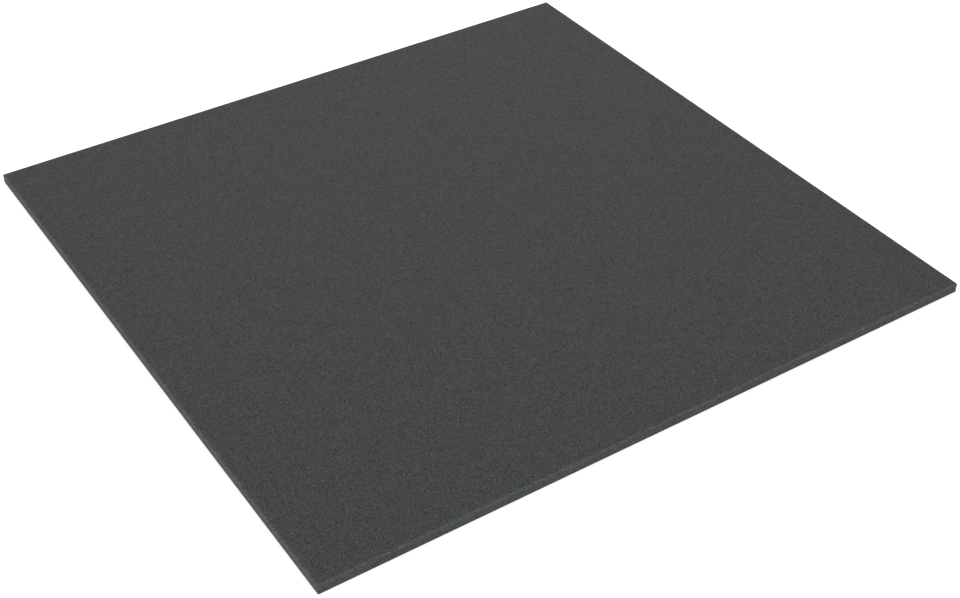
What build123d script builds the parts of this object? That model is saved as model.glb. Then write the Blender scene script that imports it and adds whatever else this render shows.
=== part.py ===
"""Foam sheet: one flat square of soft, fine-celled foam, cut from flat stock with a straight blade.

The sheet is a single piece with no pockets, holes or layers. It lies on XY with its underside on Z = 0,
and its origin is the middle of the underside. All sizes are in millimetres.
"""

import os

from build123d import *

# Driving dimensions
width = 350.0  # along X, from cut side to cut side
depth = 350.0  # along Y, from cut side to cut side
thickness = 5.0  # along Z, the gauge of the stock
corner_radius = 0.5  # upright corners, where two cuts meet and the outermost cells tear away
rim_radius = 0.4  # rims of the cut sides, top and bottom, where the soft foam gives under the blade

# However thin the stock, a narrow flat stays on each cut side, between its top rim and its bottom rim
least_side_flat = 0.1
rim_fillet = min(rim_radius, (thickness - least_side_flat) / 2)

with BuildPart() as foam_sheet:
    # The outline that the blade leaves, square but for its four small corners
    with BuildSketch(Plane.XY) as outline:
        Rectangle(width, depth)
        fillet(outline.vertices(), corner_radius)

    # The full gauge of the stock, straight up from the underside
    extrude(amount=thickness)

    # The rims, all the way round the underside and the top
    broad_faces = foam_sheet.faces().filter_by(Axis.Z)
    fillet(broad_faces.edges(), rim_fillet)

foam_sheet.part.label = "foam_sheet"

os.makedirs("parts", exist_ok=True)
export_step(foam_sheet.part, "parts/foam_sheet.step")
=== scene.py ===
import math

import bmesh
import bpy
import numpy as np
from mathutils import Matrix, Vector


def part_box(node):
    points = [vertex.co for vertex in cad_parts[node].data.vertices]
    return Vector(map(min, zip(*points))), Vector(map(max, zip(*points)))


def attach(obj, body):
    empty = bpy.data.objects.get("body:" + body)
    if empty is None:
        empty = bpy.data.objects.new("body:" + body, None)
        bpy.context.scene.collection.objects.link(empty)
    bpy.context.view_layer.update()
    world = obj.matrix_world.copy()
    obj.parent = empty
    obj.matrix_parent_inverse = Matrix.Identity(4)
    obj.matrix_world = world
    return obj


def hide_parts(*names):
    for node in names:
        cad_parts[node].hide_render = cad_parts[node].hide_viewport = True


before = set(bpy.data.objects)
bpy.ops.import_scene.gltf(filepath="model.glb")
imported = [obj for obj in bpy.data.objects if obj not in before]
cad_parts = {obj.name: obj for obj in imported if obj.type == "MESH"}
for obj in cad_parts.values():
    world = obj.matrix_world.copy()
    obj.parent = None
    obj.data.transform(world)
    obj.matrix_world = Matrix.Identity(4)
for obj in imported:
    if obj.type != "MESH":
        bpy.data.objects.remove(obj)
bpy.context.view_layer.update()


# ---------------------------------------------------------------------------------------------
# The foam sheet: a flat square of soft, open-celled polyurethane foam, skived to its gauge from a
# block and cut to size with a straight blade. The broad faces are plain. The blade leaves the
# sides straight, and the soft rims give a little and round over by about one cell.
# ---------------------------------------------------------------------------------------------
lowest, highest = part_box("foam_sheet")
half_side = (highest.x - lowest.x) / 2
gauge = highest.z - lowest.z
corner_radius = 0.0005  # the upright corners, where two cuts meet
rim_radius = 0.0004  # the rims of the cut sides, at the top and at the underside


def face_lines(reach, pitch, first_steps):
    """Places of the grid lines across a broad face, from -reach to reach.

    They are even, about pitch apart, but for the narrow first_steps beside each cut side.
    """
    beside = np.cumsum(first_steps)
    inner = reach - beside[-1]
    even = np.linspace(-inner, inner, 1 + 2 * round(inner / pitch))
    edge = reach - np.concatenate([[0.0], beside[:-1]])
    return np.concatenate([-edge, even, edge[::-1]])


def side_walk(lines, arc_points, quarter):
    """Where the columns of the cut edge start, and their outward normals, on one side and its corner.

    On the side they start at the grid lines' ends and the normal is the side's own. At the corner
    the start stays and the normal turns through a quarter circle in arc_points steps. Each quarter
    is the same walk turned by a quarter turn more.
    """
    along = np.concatenate([lines, np.full(arc_points, lines[-1])])
    tilt = np.concatenate([np.zeros(len(lines)), np.linspace(0, math.pi / 2, arc_points + 1)[1:]])
    ahead = np.array([math.cos(quarter * math.pi / 2), math.sin(quarter * math.pi / 2)])
    out = np.array([ahead[1], -ahead[0]])
    starts = along[:, None] * ahead + lines[-1] * out
    normals = np.cos(tilt)[:, None] * out + np.sin(tilt)[:, None] * ahead
    return starts, normals


def walked(points):
    """The way walked along a line of points, from the first to each of them."""
    steps = np.linalg.norm(np.diff(points, axis=0), axis=1)
    return np.concatenate([[0.0], np.cumsum(steps)])


def edge_profile(arc_points, side_rings):
    """The section of the cut edge, from the core on the top face round to the core on the underside.

    A quarter circle of rim_radius rounds each broad face over to the side. Returns how far each ring
    has grown out from the core, its height, and how far it is, along the section, from the crest of
    the nearer rim, a third of the way round its arc. The lower half mirrors the upper.
    """
    angle = np.linspace(0, math.pi / 2, arc_points)
    side = np.linspace(rim_radius, gauge / 2, side_rings)[1:]
    arc_grown = corner_radius - rim_radius * (1 - np.sin(angle))
    grown = np.concatenate([[0.0], arc_grown, np.full(len(side), corner_radius)])
    drop = np.concatenate([[0.0], rim_radius * (1 - np.cos(angle)), side])
    from_core = walked(np.stack([grown, drop], -1))
    from_crest = np.abs(from_core - from_core[1 + arc_points // 3])
    level = np.concatenate([gauge - drop, drop[-2::-1]])
    grown, from_crest = (np.concatenate([upper, upper[-2::-1]]) for upper in (grown, from_crest))
    return grown, level, from_crest


def on_flat_map(across, along, corner, size):
    """A grid's distances across and along, from 0, laid over the rectangle of that corner and size."""
    return np.stack([across / across.max(), along / along.max()], -1) * size + corner


def sheet_grids():
    """Six grids that meet at their outlines: the top, the underside, and a strip for each cut side.

    The top and the underside cover the core, the square inside the roundings of the corners. A strip
    is the edge profile carried along its side walk. Each grid has its places, its places on the flat
    map, their distance from the crest of the nearest rim, and 1 where the blade cut and 0 elsewhere.
    On the flat map the top is largest, the underside is small beside it, and the strips lie above.
    """
    core_half = half_side - corner_radius
    lines = face_lines(core_half, pitch=0.004, first_steps=[0.0003, 0.0005, 0.001, 0.002, 0.003])
    grown, level, from_crest = edge_profile(arc_points=7, side_rings=3)

    # The broad faces, which meet the cut at their outlines alone
    x, y = np.meshgrid(lines, lines, indexing="ij")
    from_core_edge = core_half - np.maximum(np.abs(x), np.abs(y))
    rim_distance = from_core_edge + from_crest[0]
    cut_side = (from_core_edge < 1e-6) * 1.0
    across, along = x + core_half, y + core_half
    top_map = on_flat_map(across, along, corner=(0.006, 0.006), size=(0.73, 0.73))
    under_map = on_flat_map(across, along, corner=(0.745, 0.006), size=(0.249, 0.249))
    grids = [
        (np.dstack([x, y, np.full_like(x, gauge)]), top_map, rim_distance, cut_side),
        (np.dstack([y, x, np.zeros_like(x)]), under_map, rim_distance, cut_side),
    ]

    # The cut sides, one after another round the sheet
    section = np.stack([grown, level], -1)
    for quarter in range(4):
        starts, normals = side_walk(lines, arc_points=6, quarter=quarter)
        flat = starts + grown[:, None, None] * normals
        outline = starts + corner_radius * normals
        across, along = np.meshgrid(walked(outline), walked(section))
        strip_corner = (0.006, 0.75 + 0.061 * quarter)
        strip_map = on_flat_map(across, along, strip_corner, size=(0.988, 0.055))
        rise = np.broadcast_to(level[:, None], across.shape)
        rim_distance = np.broadcast_to(from_crest[:, None], across.shape)
        grids.append((np.dstack([flat, rise]), strip_map, rim_distance, np.ones_like(across)))
    return grids


def slight_waves(points, amount, shortest, longest, count, seed):
    """For each axis, a sum of count sine waves through space, of random headings and phases.

    Wavelengths run from shortest to longest, and the sum's typical size is amount.
    """
    rng = np.random.default_rng(seed)
    heading = rng.normal(size=(3, count, 3))
    heading /= np.linalg.norm(heading, axis=2, keepdims=True)
    wavelength = shortest * (longest / shortest) ** rng.random((3, count, 1))
    wave = heading * 2 * math.pi / wavelength
    phase = rng.random((3, count, 1)) * 2 * math.pi
    sums = np.sin(np.einsum("akc,nc->akn", wave, points) + phase).sum(1)
    return amount * math.sqrt(2 / count) * sums.T


def foam_sheet_mesh():
    """The sheet's six grids as one closed mesh of quads, merged where their outlines meet."""
    grids = sheet_grids()
    quads, start = [], 0
    for places, _, _, _ in grids:
        index = start + np.arange(places[..., 0].size).reshape(places.shape[:2])
        corners = [index[:-1, :-1], index[1:, :-1], index[1:, 1:], index[:-1, 1:]]
        quads.append(np.stack(corners, -1).reshape(-1, 4))
        start += index.size
    quads = np.concatenate(quads)
    places, flat_map, rim_distance, cut_side = (
        np.concatenate([part.reshape(-1, *part.shape[2:]) for part in parts]) for parts in zip(*grids)
    )

    # The sheet is a little uneven, by hundredths of a millimetre, and lies flat on its underside
    dents = np.abs(slight_waves(places, amount=0.00002, shortest=0.012, longest=0.06, count=60, seed=5))
    inwards = -places / (half_side, half_side, gauge)
    places = places + dents * inwards * places[:, 2:] / gauge

    mesh = bpy.data.meshes.new("foam_sheet")
    mesh.from_pydata(places.tolist(), [], quads.tolist())
    for name, values in (("rim_distance", rim_distance), ("cut_side", cut_side)):
        mesh.attributes.new(name, "FLOAT", "POINT").data.foreach_set("value", values.astype(np.float32))
    mesh.uv_layers.new(name="OFBake").data.foreach_set("uv", flat_map[quads].ravel().astype(np.float32))
    joined = bmesh.new()
    joined.from_mesh(mesh)
    bmesh.ops.remove_doubles(joined, verts=joined.verts, dist=1e-6)
    joined.to_mesh(mesh)
    joined.free()
    mesh.polygons.foreach_set("use_smooth", np.ones(len(mesh.polygons), bool))
    return mesh


def bare_tree(owner):
    """The node tree of a material or a world, switched on and emptied."""
    owner.use_nodes = True
    owner.node_tree.nodes.clear()
    return owner.node_tree


def shader_node(tree, kind, inputs, **settings):
    """A new node of that kind, with its settings made and its sockets set or linked."""
    node = tree.nodes.new(kind)
    for name, value in settings.items():
        setattr(node, name, value)
    for name, value in inputs.items():
        if isinstance(value, bpy.types.NodeSocket):
            tree.links.new(value, node.inputs[name])
        else:
            node.inputs[name].default_value = value
    return node


def carried(tree, name):
    """The value of that name that the mesh carries at its points."""
    return shader_node(tree, "ShaderNodeAttribute", {}, attribute_name=name).outputs["Fac"]


def noise(tree, place, size, detail):
    """Smooth random values round 0.5, with lumps about size across."""
    sockets = {"Vector": place, "Scale": 1 / size, "Detail": detail, "Roughness": 0.5}
    return shader_node(tree, "ShaderNodeTexNoise", sockets).outputs["Fac"]


def ranged(tree, value, start, end, low, high, curve="LINEAR"):
    """low where value is start or less, high where it is end or more, and between them in between."""
    sockets = {"Value": value, "From Min": start, "From Max": end, "To Min": low, "To Max": high}
    return shader_node(tree, "ShaderNodeMapRange", sockets, interpolation_type=curve).outputs["Result"]


def worked_out(tree, operation, *values):
    """The result of a Math node's operation on the values, in their order."""
    return shader_node(tree, "ShaderNodeMath", dict(enumerate(values)), operation=operation).outputs[0]


def product(tree, first, *others):
    """All the factors multiplied together."""
    result = first
    for factor in others:
        result = worked_out(tree, "MULTIPLY", result, factor)
    return result


def one_plus(tree, value, factor):
    """One, and value times factor more."""
    return worked_out(tree, "MULTIPLY_ADD", value, factor, 1.0)


def fine_celled_foam():
    """Dark grey open-celled foam: pale struts round small dark cells, no two of them alike.

    Each cell is open or skinned over by its own chance, and so dark or pale: the dark of an open cell
    is painted shade inside its hole. In some patches the cells differ more than in others. The blade
    tears the outermost struts, so the cut sides are a little paler than the broad faces, partly by
    their own tone and partly by painted light, and the rims, where struts stick out, are paler again
    with a painted highlight.
    """
    material = bpy.data.materials.new("fine_celled_foam")
    tree = bare_tree(material)
    place = shader_node(tree, "ShaderNodeTexCoord", {}).outputs["Object"]

    # The cells: how far each point is from the nearest strut, in cells, and two chances for each cell
    cell_size = 0.00038
    lattice = {"Vector": place, "Scale": 1 / cell_size, "Randomness": 1.0}
    struts = shader_node(tree, "ShaderNodeTexVoronoi", lattice, feature="DISTANCE_TO_EDGE")
    cells = shader_node(tree, "ShaderNodeTexVoronoi", lattice)
    chances = shader_node(tree, "ShaderNodeSeparateColor", {"Color": cells.outputs["Color"]})
    pit = ranged(tree, struts.outputs["Distance"], 0.02, 0.15, 0.0, 1.0, "SMOOTHSTEP")
    openness = ranged(tree, chances.outputs["Red"], 0.0, 1.0, 0.4, 1.0)
    depth = product(tree, pit, openness)

    # The tone: most cells are alike and a few much paler or darker, more so in some patches
    cell_contrast = ranged(tree, noise(tree, place, 0.004, 1.0), 0.35, 0.65, 0.38, 0.85)
    chance = ranged(tree, chances.outputs["Green"], 0.0, 1.0, -1.0, 1.0)
    cell_tone = one_plus(tree, product(tree, chance, chance, chance), cell_contrast)
    mottling = ranged(tree, noise(tree, place, 0.005, 2.0), 0.3, 0.7, 0.99, 1.01)

    # The cut: paler sides, partly their own tone and partly painted light, and a painted highlight, a
    # pale broken line along the rims that fades within a few millimetres
    cut_tone_and_painted_light = ranged(tree, carried(tree, "cut_side"), 0.0, 1.0, 1.0, 1.23)
    nearness = ranged(tree, carried(tree, "rim_distance"), 0.0, 0.0045, 1.0, 0.0)
    rim_highlight_strength = ranged(tree, noise(tree, place, 0.0025, 1.0), 0.3, 0.7, 0.1, 0.42)
    painted_rim_highlight = one_plus(tree, worked_out(tree, "POWER", nearness, 5.0), rim_highlight_strength)

    # The Mix node has sockets of one name for each kind of value, so its colours go by number
    # The strut grey is the foam's own colour; the pit grey is painted shade inside the open cells
    strut_grey = (0.0853, 0.0910, 0.0960, 1)
    pit_shade_grey = (0.0125, 0.0133, 0.0140, 1)
    grain_and_pit_shade = shader_node(
        tree, "ShaderNodeMix", {"Factor": depth, 6: strut_grey, 7: pit_shade_grey}, data_type="RGBA",
    ).outputs[2]
    tone = product(tree, cell_tone, mottling, cut_tone_and_painted_light, painted_rim_highlight)
    colour = shader_node(tree, "ShaderNodeVectorMath", {0: grain_and_pit_shade, "Scale": tone}, operation="SCALE")
    relief = shader_node(
        tree, "ShaderNodeBump", {"Height": depth, "Strength": 0.5, "Distance": 0.0001}, invert=True,
    )
    foam = shader_node(tree, "ShaderNodeBsdfPrincipled", {
        "Base Color": colour.outputs["Vector"],
        "Roughness": 0.95,
        "Specular IOR Level": 0.2,
        "Normal": relief.outputs["Normal"],
    })
    shader_node(tree, "ShaderNodeOutputMaterial", {"Surface": foam.outputs["BSDF"]})
    return material


sheet_mesh = foam_sheet_mesh()
sheet_mesh.materials.append(fine_celled_foam())
sheet = bpy.data.objects.new("foam_sheet_dressed", sheet_mesh)
bpy.context.scene.collection.objects.link(sheet)
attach(sheet, "root")
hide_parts("foam_sheet")


# ---------------------------------------------------------------------------------------------
# The stand: a plain white floor, lit by a pale room and three large soft lamps, two of them far
# off and one near behind the sheet. It is no part of the object.
# ---------------------------------------------------------------------------------------------
floor_gap = 0.00005  # a hair's breadth, so that the floor and the underside share no plane


def white_floor(size, own_white, seen_white):
    """A flat square floor of diffuse own_white, which the camera sees with seen_white added to it."""
    bpy.ops.mesh.primitive_plane_add(size=size, location=(0, 0, lowest.z - floor_gap))
    floor = bpy.context.object
    floor.name = "floor"
    material = bpy.data.materials.new("floor_white")
    tree = bare_tree(material)
    paint = shader_node(tree, "ShaderNodeBsdfDiffuse", {"Color": (own_white,) * 3 + (1,)})
    path = shader_node(tree, "ShaderNodeLightPath", {})
    glow = shader_node(tree, "ShaderNodeEmission", {"Strength": seen_white})
    none = shader_node(tree, "ShaderNodeEmission", {"Strength": 0.0})
    seen = shader_node(
        tree, "ShaderNodeMixShader",
        {0: path.outputs["Is Camera Ray"], 1: none.outputs["Emission"], 2: glow.outputs["Emission"]},
    )
    both = shader_node(tree, "ShaderNodeAddShader", {0: paint.outputs["BSDF"], 1: seen.outputs["Shader"]})
    shader_node(tree, "ShaderNodeOutputMaterial", {"Surface": both.outputs["Shader"]})
    floor.data.materials.append(material)
    return floor


def pale_room(strength):
    """A world that lights evenly with that strength, and shows white to the camera."""
    world = bpy.data.worlds.new("pale_room")
    tree = bare_tree(world)
    path = shader_node(tree, "ShaderNodeLightPath", {})
    light = shader_node(tree, "ShaderNodeBackground", {"Color": (1, 1, 1, 1), "Strength": strength})
    white = shader_node(tree, "ShaderNodeBackground", {"Color": (1, 1, 1, 1), "Strength": 1.0})
    mixed = shader_node(
        tree, "ShaderNodeMixShader",
        {0: path.outputs["Is Camera Ray"], 1: light.outputs["Background"], 2: white.outputs["Background"]},
    )
    shader_node(tree, "ShaderNodeOutputWorld", {"Surface": mixed.outputs["Shader"]})
    return world


def soft_lamp(name, place, size, power):
    """A square lamp of that size and power at place, facing the middle of the sheet."""
    data = bpy.data.lights.new(name, "AREA")
    data.size = size
    data.energy = power
    lamp = bpy.data.objects.new(name, data)
    lamp.location = place
    lamp.rotation_mode = "QUATERNION"
    lamp.rotation_quaternion = (-Vector(place)).to_track_quat("-Z", "Y")
    bpy.context.scene.collection.objects.link(lamp)


white_floor(size=16.0, own_white=0.8, seen_white=0.6)
bpy.context.scene.world = pale_room(strength=0.47)
soft_lamp("lamp_left", (-4.5, -1.2, 1.0), size=1.5, power=158)
soft_lamp("lamp_front", (1.8, -4.5, 1.0), size=1.5, power=68)
soft_lamp("lamp_back", (0.8, 1.2, 1.4), size=1.0, power=20)


# ---------------------------------------------------------------------------------------------
# The camera: a fairly long lens that looks down across the near corner, from in front and from
# the left, with the sheet across the whole width of its view.
# ---------------------------------------------------------------------------------------------
side = 2 * half_side
azimuth, elevation = math.radians(-33.859), math.radians(37.750)
distance = 2.25722 * side
aim = Vector((-0.01199, -0.17622, 0)) * side
back = Vector((
    math.sin(azimuth) * math.cos(elevation),
    -math.cos(azimuth) * math.cos(elevation),
    math.sin(elevation),
))
camera_data = bpy.data.cameras.new("camera")
camera_data.sensor_width = 36
camera_data.lens = 61.395
camera_data.shift_x = -0.04094
camera_data.clip_start, camera_data.clip_end = 0.01, 50
camera = bpy.data.objects.new("camera", camera_data)
camera.location = aim + back * distance
camera.rotation_mode = "QUATERNION"
camera.rotation_quaternion = (-back).to_track_quat("-Z", "Y")
bpy.context.scene.collection.objects.link(camera)
bpy.context.scene.camera = camera
bpy.context.scene.view_settings.view_transform = "Standard"
